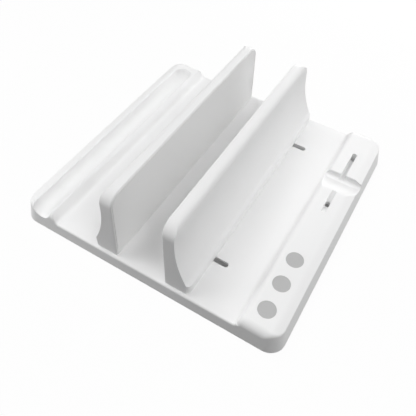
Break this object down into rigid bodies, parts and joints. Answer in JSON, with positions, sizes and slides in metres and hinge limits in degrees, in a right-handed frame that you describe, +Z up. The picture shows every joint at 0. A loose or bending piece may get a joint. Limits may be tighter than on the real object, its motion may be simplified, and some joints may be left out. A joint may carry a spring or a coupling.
{
  "type": "vertical laptop stand",
  "caption": "White moulded desk tray with tall uprights that clamp a closed laptop on edge, the right one sliding to set the gap; pen groove, phone groove with cable channels and grip discs.",
  "frame": {"origin": "middle of the tray's footprint, on the surface that the feet stand on", "axes": "+X to the right across the uprights, +Y to the back along them, +Z up"},
  "size_m": [0.22, 0.216, 0.0753],
  "materials": {
    "white_plastic": "satin moulded ABS with a very fine grain",
    "white_silicone": "matt white silicone sheet",
    "grey_silicone": "matt light grey silicone",
    "foot_rubber": "matt dark grey rubber",
    "zinc_steel": "bright zinc plating",
    "brass": "plain turned brass"
  },
  "bodies": {
    "base": {"base_tray": "white_plastic", "left_upright": "white_plastic", "left_pad": "white_silicone", "left_screw_front": "zinc_steel", "left_screw_rear": "zinc_steel", "left_washer_front": "zinc_steel", "left_washer_rear": "zinc_steel", "left_insert_front": "brass", "left_insert_rear": "brass", "grip_disc_front": "grey_silicone", "grip_disc_middle": "grey_silicone", "grip_disc_rear": "grey_silicone", "foot_front_left": "foot_rubber", "foot_front_right": "foot_rubber", "foot_rear_left": "foot_rubber", "foot_rear_right": "foot_rubber"},
    "slider": {"right_upright": "white_plastic", "right_pad": "white_silicone", "right_screw_front": "zinc_steel", "right_screw_rear": "zinc_steel", "right_washer_front": "zinc_steel", "right_washer_rear": "zinc_steel", "right_insert_front": "brass", "right_insert_rear": "brass"}
  },
  "joints": [
    {"name": "upright_slide", "type": "slide", "parent": "base", "child": "slider", "axis": [1, 0, 0], "range_m": [-0.024, 0.019]}
  ]
}
